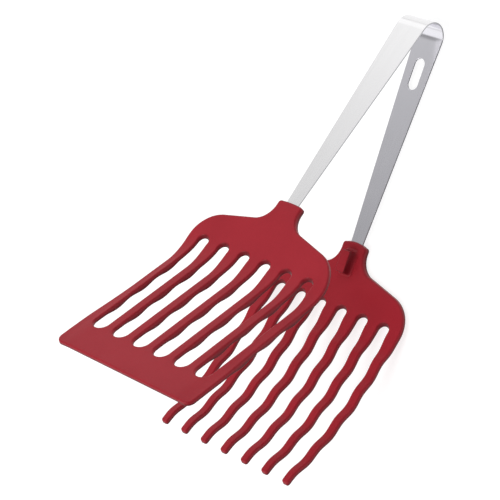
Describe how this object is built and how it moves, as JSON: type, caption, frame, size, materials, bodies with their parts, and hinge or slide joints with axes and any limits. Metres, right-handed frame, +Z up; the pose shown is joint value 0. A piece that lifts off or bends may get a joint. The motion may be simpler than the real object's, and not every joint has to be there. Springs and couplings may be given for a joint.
{
  "type": "turning tongs",
  "caption": "Sprung steel kitchen tongs with a slotted turner blade facing a rippled fork, for lifting and turning food; squeezed shut and springing open.",
  "frame": {"origin": "under the middle of the object's box, on the table it lies on", "axes": "+X across the heads, +Y from the heads towards the bow, +Z up from the fork to the blade"},
  "size_m": [0.1438, 0.3508, 0.1981],
  "materials": {
    "strap_steel": "satin stainless strip",
    "red_nylon": "semi-matt moulded nylon"
  },
  "bodies": {
    "fork_side": {"fork_arm": "strap_steel", "fork_head": "red_nylon"},
    "blade_side": {"blade_arm": "strap_steel", "blade_head": "red_nylon"}
  },
  "joints": [
    {"name": "squeeze", "type": "hinge", "parent": "fork_side", "child": "blade_side", "pos_m": [0, 0.17461, 0.01292], "axis": [1, 0, 0], "range_deg": [0, 20.2], "stiffness_Nm_per_rad": 6, "springref_deg": -2.86}
  ]
}
